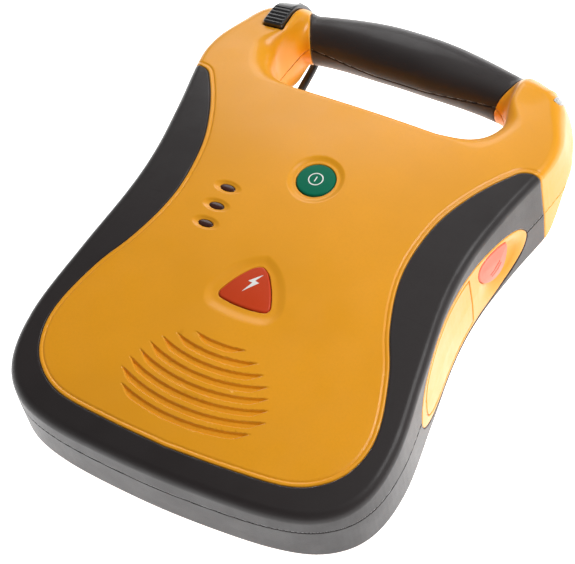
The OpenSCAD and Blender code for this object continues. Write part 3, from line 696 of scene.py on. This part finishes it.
def cover(p):
    """Lid of the pads pocket, with a sunk panel of cross ribs and four screw holes."""
    x, y, z = p[:, 0], p[:, 1], p[:, 2]
    mid, pitch = -7, 12
    s = rmax(box2(x, y, 0, mid, 80, 85, 10), 1.2 - z, 1.6)
    s = np.maximum(s, z - 6.9)
    panel = box2(x, y, 0, mid, 62, 66, 8)
    s = rmax(s, -np.maximum(panel, z - 1.75), 0.4)
    ribs = np.abs((y - mid + pitch / 2) % pitch - pitch / 2) - 3.2
    ribs = np.maximum(ribs, box2(x, y, 0, mid, 56, 60, 6))
    s = np.minimum(s, rmax(rmax(ribs, 1.25 - z, 0.5), z - 3, 0.1))
    s = np.maximum(s, -np.maximum(np.maximum(np.abs(x) - 66, np.maximum(-80 - y, y - 90)), 3.6 - z))
    holes = np.minimum(rounds(p, COVER_BOSSES, 1.7), np.maximum(rounds(p, COVER_BOSSES, 3.3), z - 3.2))
    return rmax(s, -holes, 0.2)


def screw_heads(p, centres, z0, r, shank, length):
    """Pan-head screws seen from below, each with a cross recess."""
    out = np.full(len(p), 60.0)
    for (cx, cy), base in zip(centres, z0):
        x, y, z = p[:, 0] - cx, p[:, 1] - cy, p[:, 2] - base
        q = np.hypot(x, y)
        s = rmax(q - r, -z - 0.04 * (r * r - q * q), 0.7)
        s = np.maximum(s, z - 2.2)
        cross = np.minimum(box2(x, y, 0, 0, 0.45, 1.7), box2(x, y, 0, 0, 1.7, 0.45))
        s = np.maximum(s, -np.maximum(cross, z - 1.2))
        out = np.minimum(out, np.minimum(s, np.maximum(np.maximum(q - shank, z - length), 1 - z)))
    return out


def feet(p):
    """Four round rubber feet."""
    discs = rounds(p, [(x, y) for x in (-56, 56) for y in (-74, 62)], 7)
    return np.maximum(rmax(discs, -p[:, 2], 0.9), p[:, 2] - 2.0)


# ---- materials
def srgb(r, g, b):
    """Linear colour from 0-255 screen values."""
    linear = [((c / 255 + 0.055) / 1.055) ** 2.4 if c > 10 else c / 255 / 12.92 for c in (r, g, b)]
    return (*linear, 1.0)


def scaled(c, k):
    """The colour made k times as bright."""
    return tuple(min(1.0, v * k) for v in c[:3]) + (1.0,)


class Nodes:
    """Short way to build a material's node tree."""

    def __init__(self, name):
        self.m = bpy.data.materials.new(name)
        self.m.use_nodes = True
        self.t = self.m.node_tree
        self.bsdf = self.t.nodes["Principled BSDF"]
        self.at = self.add("ShaderNodeTexCoord").outputs["Object"]

    def add(self, kind, **settings):
        n = self.t.nodes.new(kind)
        for k, v in settings.items():
            if k in n.inputs:
                n.inputs[k].default_value = v
            else:
                setattr(n, k, v)
        return n

    def set(self, values):
        for key, v in values.items():
            self.bsdf.inputs[key].default_value = v

    def join(self, a, b):
        self.t.links.new(a, b)

    def stretched(self, scale):
        n = self.add("ShaderNodeMapping")
        n.inputs["Scale"].default_value = scale
        self.join(self.at, n.inputs["Vector"])
        return n.outputs["Vector"]

    def noise(self, scale, detail=3.0, rough=0.5, vector=None):
        n = self.add("ShaderNodeTexNoise", Scale=scale, Detail=detail, Roughness=rough)
        self.join(vector or self.at, n.inputs["Vector"])
        return n.outputs["Fac"]

    def voronoi(self, scale):
        n = self.add("ShaderNodeTexVoronoi", Scale=scale)
        self.join(self.at, n.inputs["Vector"])
        return n.outputs["Distance"]

    def span(self, value, lo, hi, to_lo, to_hi):
        n = self.add("ShaderNodeMapRange")
        n.interpolation_type = "SMOOTHSTEP"
        for k, v in (("From Min", lo), ("From Max", hi), ("To Min", to_lo), ("To Max", to_hi)):
            n.inputs[k].default_value = v
        self.join(value, n.inputs["Value"])
        return n.outputs["Result"]

    def math(self, op, a, b):
        n = self.add("ShaderNodeMath", operation=op)
        for socket, v in zip(n.inputs, (a, b)):
            if isinstance(v, (int, float)):
                socket.default_value = v
            else:
                self.join(v, socket)
        return n.outputs[0]

    def mix(self, fac, a, b):
        n = self.add("ShaderNodeMix", data_type="RGBA")
        for socket, v in ((n.inputs["Factor"], fac), (n.inputs[6], a), (n.inputs[7], b)):
            if isinstance(v, (int, float, tuple)):
                socket.default_value = v
            else:
                self.join(v, socket)
        return n.outputs[2]

    def bump(self, height, distance_mm):
        n = self.add("ShaderNodeBump", Strength=1.0, Distance=distance_mm * MM)
        self.join(height, n.inputs["Height"])
        self.join(n.outputs["Normal"], self.bsdf.inputs["Normal"])


mat = {}


def moulded(name, colour, rough=0.42, grain_mm=0.5, grain=0.02, vary=0.06, worn=None, spec=0.5, coat=0.0,
            sub=0.0, metallic=0.0, streak=None, dirt=0.12, sheen=0.0):
    """Moulded plastic, rubber or metal: slow colour drift, fine spark grain, scuffs, paler worn edges."""
    n, colour = Nodes(name), srgb(*colour)
    drift = n.noise(14, 4)
    speck = n.noise(950, 2)
    base = n.mix(n.span(drift, 0.3, 0.7, 0, 1), scaled(colour, 1 - vary), scaled(colour, 1 + vary))
    base = n.mix(n.span(speck, 0.35, 0.75, 0, 0.25), base, scaled(colour, 1 - 2 * vary))
    if worn is not None:
        geo = n.add("ShaderNodeNewGeometry")
        edge = n.span(geo.outputs["Pointiness"], 0.53, 0.62, 0, 0.55)
        broken = n.math("MULTIPLY", edge, n.span(n.noise(160, 4), 0.35, 0.65, 0.15, 1))
        base = n.mix(broken, base, srgb(*worn))
    smudge = n.noise(38, 5, 0.6)
    base = n.mix(n.span(smudge, 0.55, 0.8, 0, dirt), base, scaled(colour, 0.72))
    n.join(base, n.bsdf.inputs["Base Color"])
    r = n.span(n.noise(60, 4, 0.6), 0.25, 0.75, rough - 0.06, rough + 0.08)
    scuff = n.span(n.noise(40, 3, 0.7, n.stretched((1, 14, 6))), 0.62, 0.72, 0, 0.10)
    n.join(n.math("ADD", r, scuff), n.bsdf.inputs["Roughness"])
    cells = n.voronoi(1000 / grain_mm)
    fine = n.noise(1400 / grain_mm, 2)
    height = n.math("ADD", n.math("MULTIPLY", cells, 0.7), n.math("MULTIPLY", fine, 0.5))
    if streak is not None:
        lines = n.noise(1000 / grain_mm, 2, 0.5, n.stretched(streak))
        height = n.math("ADD", height, lines)
    n.bump(height, grain)
    n.set({"Specular IOR Level": spec, "Coat Weight": coat, "Coat Roughness": 0.18, "Metallic": metallic,
           "Sheen Weight": sheen, "Sheen Roughness": 0.35, "Subsurface Weight": sub,
           "Subsurface Radius": (0.004, 0.002, 0.001)})
    mat[name] = n.m


moulded("yellow_shell", (238, 160, 14), 0.40, 0.45, 0.012, 0.045, (250, 196, 96), 0.38, coat=0.22, sub=0.04,
        dirt=0.05, sheen=0.2)
moulded("black_rubber", (28, 20, 20), 0.55, 0.55, 0.03, 0.10, (84, 76, 72), 0.42, coat=0.12, sheen=0.55)
moulded("seal_rubber", (38, 38, 40), 0.7, 0.6, 0.02, 0.10, (70, 70, 70))
moulded("dark_plastic", (46, 44, 45), 0.45, 0.45, 0.02, 0.04, (80, 77, 76), 0.4, dirt=0.05)
moulded("plug_plastic", (30, 29, 31), 0.30, 0.5, 0.008, 0.10, (90, 90, 92), coat=0.25)
moulded("steel", (196, 198, 202), 0.26, 0.3, 0.006, 0.05, (235, 235, 238), metallic=1.0, streak=(1, 1, 0.05))
moulded("cell_wrap", (170, 176, 190), 0.28, 0.8, 0.006, 0.06, coat=0.5)
moulded("green_button", (0, 108, 80), 0.44, 0.4, 0.008, 0.05, (50, 140, 112), 0.12)
moulded("red_button", (204, 64, 20), 0.40, 0.4, 0.010, 0.05, (226, 100, 64), 0.3, sub=0.05)
moulded("coral_button", (244, 112, 84), 0.40, 0.4, 0.010, 0.05, (252, 170, 150), sub=0.08)
moulded("indicator_window", (62, 30, 24), 0.24, 0.6, 0.004, 0.12, spec=0.35)
moulded("led_body", (226, 222, 206), 0.30, 0.3, 0.004, 0.05, coat=0.4)
moulded("paper_cone", (48, 47, 50), 0.82, 0.9, 0.05, 0.14, streak=(1, 0.15, 1))
moulded("magnet_iron", (92, 92, 96), 0.5, 0.7, 0.03, 0.10, metallic=0.8)
moulded("wire_red", (186, 34, 34), 0.42, 0.4, 0.006, 0.06, coat=0.1)
moulded("wire_white", (222, 220, 214), 0.42, 0.4, 0.006, 0.04, coat=0.1)
moulded("circuit_board", (26, 98, 54), 0.30, 1.4, 0.02, 0.16, coat=0.4, streak=(1, 0.08, 1))
moulded("chip_plastic", (36, 38, 40), 0.55, 0.35, 0.02, 0.08)
moulded("capacitor_sleeve", (44, 74, 124), 0.30, 0.6, 0.008, 0.08, coat=0.3)
moulded("strap_nylon", (214, 210, 198), 0.46, 0.4, 0.012, 0.05, streak=(0.1, 1, 1))
moulded("transformer_core", (122, 92, 54), 0.5, 0.6, 0.04, 0.12, streak=(1, 1, 0.06))
moulded("bare_aluminium", (186, 189, 194), 0.34, 0.4, 0.01, 0.05, metallic=1.0, streak=(0.05, 1, 1))
moulded("gold_contact", (214, 168, 62), 0.22, 0.3, 0.004, 0.06, metallic=1.0)
moulded("lead_jacket", (34, 33, 35), 0.48, 0.4, 0.012, 0.08, (80, 78, 76))
moulded("mark_white", (240, 240, 236), 0.40, 0.5, 0.004, 0.02, dirt=0.05)


def clear_lens():
    """Clear plastic of the status window, faintly clouded."""
    n = Nodes("clear_lens")
    n.join(n.mix(n.span(n.noise(90, 3), 0.3, 0.7, 0, 1), (0.86, 0.88, 0.88, 1), (0.97, 0.98, 0.98, 1)),
           n.bsdf.inputs["Base Color"])
    n.join(n.span(n.noise(200, 3), 0.3, 0.7, 0.05, 0.16), n.bsdf.inputs["Roughness"])
    n.set({"Transmission Weight": 0.65, "IOR": 1.49})
    n.bump(n.noise(700, 2), 0.004)
    return n.m


def foil():
    """Heat-sealed foil pouch: soft sheen with a fine embossed dot pattern."""
    n = Nodes("foil_pouch")
    base = n.mix(n.span(n.noise(30, 4), 0.3, 0.7, 0, 1), srgb(150, 154, 160), srgb(186, 190, 196))
    base = n.mix(n.span(n.noise(220, 3), 0.55, 0.75, 0, 0.4), base, srgb(120, 125, 132))
    n.join(base, n.bsdf.inputs["Base Color"])
    n.set({"Metallic": 0.55})
    n.join(n.span(n.noise(55, 4), 0.3, 0.7, 0.30, 0.46), n.bsdf.inputs["Roughness"])
    creases = n.noise(36, 5, 0.65, n.stretched((1, 2.2, 1)))
    dots = n.voronoi(620)
    n.bump(n.math("ADD", n.math("MULTIPLY", creases, 6.0), n.math("MULTIPLY", dots, 0.4)), 0.10)
    return n.m


mat["clear_lens"] = clear_lens()
mat["foil_pouch"] = foil()

# finish of each CAD piece that is kept as it is; the rest are dark plastic
CAD_FINISHES = {
    "seal_rubber": "case_gasket speaker_gasket",
    "steel": "case_screws cover_screws speaker_frame main_board_screws power_board_screws card_slot "
             "eject_latch eject_spring ejector_springs",
    "led_body": "board_leds status_led",
    "paper_cone": "speaker_cone",
    "magnet_iron": "speaker_magnet",
    "wire_red": "speaker_leads battery_leads",
    "circuit_board": "main_board power_board",
    "chip_plastic": "board_chips output_module data_card",
    "capacitor_sleeve": "hv_capacitor",
    "strap_nylon": "capacitor_strap",
    "transformer_core": "hv_transformer",
    "bare_aluminium": "heat_sink",
    "cell_wrap": "pack_cells nine_volt_cell",
    "gold_contact": "pack_contacts socket_contacts plug_contacts",
    "wire_white": "socket_leads",
}
FINISH = {piece: look for look, pieces in CAD_FINISHES.items() for piece in pieces.split()}
for name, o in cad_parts.items():
    o.data.materials.clear()
    o.data.materials.append(mat[FINISH.get(name, "dark_plastic")])

# ---- pieces
FULL_LO, FULL_HI = (-113, -157, 4), (113, 157, 72)


def face_slack(c):
    """Extra reach of the search where the relief bends the distances."""
    return np.where((c[:, 1] < -66) & (c[:, 2] > 45) & (np.abs(c[:, 0]) < 52), GRILLE_DEPTH, 0.35)


solid("front_shell", front_shell, (-113, -157, 27), FULL_HI, 0.62, "yellow_shell", ["front_case"], 92000,
      face_slack)
solid("rear_shell", rear_shell, FULL_LO, (113, 157, 50), 0.85, "yellow_shell", ["rear_case"], 70000)
solid("front_skin", front_skin, (-113, -157, 27), (113, 82, 72), 0.75, "black_rubber", ["front_bumper"],
      70000)
solid("rear_skin", rear_skin, FULL_LO, (113, 82, 34), 0.75, "black_rubber", ["rear_bumper"], 60000)
solid("grip_upper", lambda p: grip(p, 1), (-75, 105, 26), (75, 157, 66), 0.7, "black_rubber", ["grip_front"],
      40000)
solid("grip_lower", lambda p: grip(p, -1), (-75, 105, 24), (75, 157, 50), 0.7, "black_rubber", ["grip_rear"],
      40000)
solid("side_panel", bezel, (82, -72, 6), (112, 70, 60), 0.45, "yellow_shell", ["side_bezel"], 70000)
solid("pack_end", pack_face, (88, -62, 8), (112, 16, 58), 0.5, "yellow_shell", ["pack_face"], 40000,
      body="battery_pack")
solid("eject_key", eject_button, (70, 14, 20), (106, 52, 50), 0.32, "coral_button", ["eject_button"], 40000,
      body="eject_button")
solid("power_key", power_button, (-14, 12, 58), (14, 41, 70), 0.3, "green_button", ["power_button"], 30000,
      body="power_button")
solid("shock_key", shock_button, (-20, -62, 57), (20, -26, 70), 0.35, "red_button", ["shock_button"], 30000,
      body="shock_button")
solid("led_windows", led_windows, (-48, -24, 55), (-35, 10, 70), 0.25, "indicator_window",
      ["led_light_pipes"], 20000)
solid("status_window", status_lens, (86, 126, 43), (95, 150, 68), 0.25, "clear_lens", ["status_lens"], 12000)
solid("pads_plug_body", plug, (-87, 116, 41), (-69, 151, 68), 0.28, "plug_plastic", ["pads_plug"], 40000,
      body="pads_plug")
solid("rear_cover", cover, (-84, -96, -1), (84, 82, 9), 0.7, "black_rubber", ["pads_cover"], 60000)
solid("rubber_feet", feet, (-66, -84, -2), (66, 72, 3.5), 0.45, "seal_rubber", ["rear_feet"], 16000)


# ---- marks let into the buttons
def inlay(key, outline):
    """Thin layer in the top of a key, within an outline."""
    return np.maximum(np.maximum(key - 0.05, -(key + 0.3)), outline)


def power_mark(p):
    """A ring round a short bar."""
    x, y = p[:, 0], p[:, 1] - POWER_Y
    ring, bar = np.abs(np.hypot(x, y) - 3.8) - 0.34, box2(x, y, 0, 0, 0.36, 1.75, 0.3)
    return inlay(power_button(p), np.minimum(ring, bar))


def shock_mark(p):
    """A bolt."""
    return inlay(shock_button(p), BOLT_AT(p[:, 0], p[:, 1]))


solid("power_mark", power_mark, (-5, 21, 66), (5, 32, 70), 0.14, "mark_white", most=12000,
      body="power_button")
solid("shock_mark", shock_mark, (-5, -51, 62), (5, -34, 70), 0.14, "mark_white", most=12000,
      body="shock_button")
solid("case_screw_heads", lambda p: screw_heads(p, CASE_BOSSES, (9.6, 9.6, 15, 15, 9.6, 9.6), 3.5, 1.85, 30),
      (-100, -146, 6), (100, 104, 34), 0.4, "steel", ["case_screws"], 40000)
solid("cover_screw_heads", lambda p: screw_heads(p, COVER_BOSSES, (1.7,) * 4, 2.8, 1.3, 5.2), (-78, -90, 0),
      (78, 46, 9), 0.35, "steel", ["cover_screws"], 16000)


# ---- pads lead
def tube(name, points, radius, material, sides=20, steps=14):
    """Round lead along a smooth line; radius is a function of the share of its length."""
    line = catmull(points, steps, closed=False)
    tangent = np.gradient(line, axis=0)
    tangent /= np.linalg.norm(tangent, axis=1, keepdims=True)
    normal = np.array([1.0, 0, 0])
    turn = np.arange(sides) / sides * 2 * math.pi
    rings = []
    for q, t, share in zip(line, tangent, np.linspace(0, 1, len(line))):
        normal = normal - t * (normal @ t)
        normal /= np.linalg.norm(normal)
        other = np.cross(t, normal)
        rings.append(q + radius(share) * (np.cos(turn)[:, None] * normal + np.sin(turn)[:, None] * other))
    n = len(rings)
    verts = np.concatenate(rings + [line[:1], line[-1:]])
    faces = []
    for k in range(n - 1):
        faces += [(k * sides + a, k * sides + (a + 1) % sides, (k + 1) * sides + (a + 1) % sides,
                   (k + 1) * sides + a) for a in range(sides)]
    last = (n - 1) * sides
    faces += [((a + 1) % sides, a, n * sides) for a in range(sides)]
    faces += [(last + a, last + (a + 1) % sides, n * sides + 1) for a in range(sides)]
    mesh = bpy.data.meshes.new(name)
    mesh.from_pydata([tuple(v * MM) for v in verts], [], faces)
    mesh.polygons.foreach_set("use_smooth", np.ones(len(mesh.polygons), bool))
    mesh.update()
    return link(name, mesh, material)


LEAD = [(-78, 144.5, 48.5), (-78, 149.0, 46.5), (-77.8, 151.0, 42), (-77.2, 150.8, 34), (-75.5, 149.0, 27),
        (-71, 145.6, 20.5), (-66.5, 138, 16.4), (-64.8, 120, 15.6), (-64, 100, 14.2), (-63, 84, 10.8),
        (-62.5, 72, 8.6)]


def lead_radius(share):
    """Bare lead, with a boot at the plug and a sleeve where it enters the case."""
    boot = 1.15 * (1 - float(smooth(0.05, 0.16, share)))
    sleeve = 0.5 * float(smooth(0.44, 0.46, share) * (1 - smooth(0.74, 0.77, share)))
    return 1.85 + boot + sleeve


lead = tube("pads_cable", LEAD, lead_radius, mat["lead_jacket"])
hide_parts("pads_lead")
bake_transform(lead)


# ---- pads pouch
def puffed_by_cloth(o, verts, sealed):
    """The foil after a short cloth simulation, held at its sealed rim."""
    o.vertex_groups.new(name="sealed").add([int(v) for v in np.flatnonzero(sealed)], 1.0, "REPLACE")
    cloth = o.modifiers.new("Cloth", "CLOTH")
    for key, v in (("quality", 5), ("mass", 0.2), ("use_pressure", True), ("uniform_pressure_force", 3.0),
                   ("tension_stiffness", 30), ("bending_stiffness", 0.3), ("shrink_min", -0.012),
                   ("vertex_group_mass", "sealed")):
        setattr(cloth.settings, key, v)
    cloth.settings.effector_weights.gravity = 0
    cloth.collision_settings.use_collision = False
    for f in range(1, 19):
        bpy.context.scene.frame_set(f)
    moved = coordinates(o.evaluated_get(bpy.context.evaluated_depsgraph_get()).data) / MM
    o.modifiers.clear()
    bpy.context.scene.frame_set(1)
    step = moved - verts
    size = np.linalg.norm(step, axis=1, keepdims=True)
    new = verts + step * np.minimum(1, 2.2 / np.maximum(size, 1e-6))
    new = np.where(np.isfinite(new), new, verts)
    new[:, 2] = np.clip(new[:, 2], 4.5, 11.8)
    return new


def pouch():
    """Flat heat-sealed pouch with a puffed middle and a crimped rim."""
    half_w, y0, y1, seal, nx, ny = 55.0, -79.0, 76.5, 7.0, 56, 78
    z_mid, z_room = 8.2, (4.45, 11.9)
    gx, gy = np.meshgrid(np.linspace(-half_w, half_w, nx), np.linspace(y0, y1, ny), indexing="xy")
    edge = np.minimum(half_w - np.abs(gx), np.minimum(gy - y0, y1 - gy))
    puff = 2.2 * smooth(seal, seal + 16, edge)
    verts = np.concatenate([np.stack([gx, gy, z_mid + sign * (0.18 + puff)], -1).reshape(-1, 3)
                            for sign in (1, -1)])
    edge = np.tile(edge.ravel(), 2)
    n = nx * ny
    faces = []
    for j in range(ny - 1):
        for i in range(nx - 1):
            a = j * nx + i
            faces.append((a, a + 1, a + nx + 1, a + nx))
            faces.append((n + a, n + a + nx, n + a + nx + 1, n + a + 1))
    rim = (list(range(nx)) + [j * nx + nx - 1 for j in range(1, ny)]
           + [(ny - 1) * nx + i for i in range(nx - 2, -1, -1)] + [j * nx for j in range(ny - 2, 0, -1)])
    faces += [(a, n + a, n + b, b) for a, b in zip(rim, rim[1:] + rim[:1])]
    o = link("pads_pouch_foil", new_mesh("pads_pouch_foil", verts, faces), mat["foil_pouch"])
    co = coordinates(o.data) / MM
    co = puffed_by_cloth(o, verts, edge < seal)
    crimp = edge < seal - 1
    co[crimp, 2] += 0.10 * np.sin(co[crimp, 1] * 2.2) * np.sin(co[crimp, 0] * 2.2)
    co[:, 2] = np.clip(co[:, 2], *z_room)
    o.data.vertices.foreach_set("co", (co * MM).astype(np.float32).ravel())
    baked(o, ("SUBSURF", {"levels": 1, "render_levels": 1}))
    o.data.polygons.foreach_set("use_smooth", np.ones(len(o.data.polygons), bool))
    return place(o, "pads_pouch", ["pads_pouch"])


pouch()

# ---- camera, light and floor
AZ, EL, ROLL = math.radians(-38.56), math.radians(53.30), math.radians(12.44)
CAMERA_AT, CAMERA_LENS = (0.3929, -0.5082, 0.8753), 125.2
FLOOR_HALF, FLOOR_Z, FLOOR_GLOW, WORLD_GLOW = 6.0, -0.0004, 1.35, 0.22
forward = Vector((math.sin(AZ) * math.cos(EL), math.cos(AZ) * math.cos(EL), -math.sin(EL)))
right = Vector((math.cos(AZ), -math.sin(AZ), 0))
down = forward.cross(right)
turned_right = right * math.cos(ROLL) + down * math.sin(ROLL)
turned_down = -right * math.sin(ROLL) + down * math.cos(ROLL)
camera = bpy.data.objects.new("camera", bpy.data.cameras.new("camera"))
bpy.context.scene.collection.objects.link(camera)
camera.data.lens, camera.data.sensor_width = CAMERA_LENS, 36.0
turn = Matrix((turned_right, -turned_down, -forward)).transposed().to_4x4()
camera.matrix_world = Matrix.Translation(Vector(CAMERA_AT)) @ turn
bpy.context.scene.camera = camera

# the floor shines like a light table; seen from below it is clear
floor_mesh = bpy.data.meshes.new("floor")
floor_mesh.from_pydata([(sx * FLOOR_HALF, sy * FLOOR_HALF, FLOOR_Z)
                        for sx, sy in ((-1, -1), (1, -1), (1, 1), (-1, 1))], [], [(0, 1, 2, 3)])
n = Nodes("floor")
n.join(n.mix(n.span(n.noise(3, 3), 0.3, 0.7, 0, 1), (0.93, 0.93, 0.93, 1), (0.97, 0.97, 0.97, 1)),
       n.bsdf.inputs["Base Color"])
n.set({"Roughness": 0.9, "Emission Color": (1, 1, 1, 1), "Emission Strength": FLOOR_GLOW})
below = n.add("ShaderNodeBsdfTransparent")
either = n.add("ShaderNodeMixShader")
n.join(n.add("ShaderNodeNewGeometry").outputs["Backfacing"], either.inputs[0])
n.join(n.bsdf.outputs[0], either.inputs[1])
n.join(below.outputs[0], either.inputs[2])
n.join(either.outputs[0], n.t.nodes["Material Output"].inputs["Surface"])
link("floor", floor_mesh, n.m)

world = bpy.data.worlds.new("studio")
bpy.context.scene.world = world
world.use_nodes = True
world.node_tree.nodes["Background"].inputs["Color"].default_value = (1, 1, 1, 1)
world.node_tree.nodes["Background"].inputs["Strength"].default_value = WORLD_GLOW


def area(name, at, aim, size, power):
    """Round area light at one point, facing another."""
    data = bpy.data.lights.new(name, "AREA")
    data.shape, data.size, data.energy = "DISK", size, power
    o = bpy.data.objects.new(name, data)
    bpy.context.scene.collection.objects.link(o)
    o.location = at
    o.rotation_euler = (Vector(aim) - Vector(at)).to_track_quat("-Z", "Y").to_euler()


area("back", (-0.7, 1.4, 1.1), (0, 0.05, 0.03), 1.2, 12)
area("above", (0.95, 0.35, 1.45), (0, 0, 0.03), 1.0, 21)
bpy.context.scene.view_settings.view_transform = "Standard"
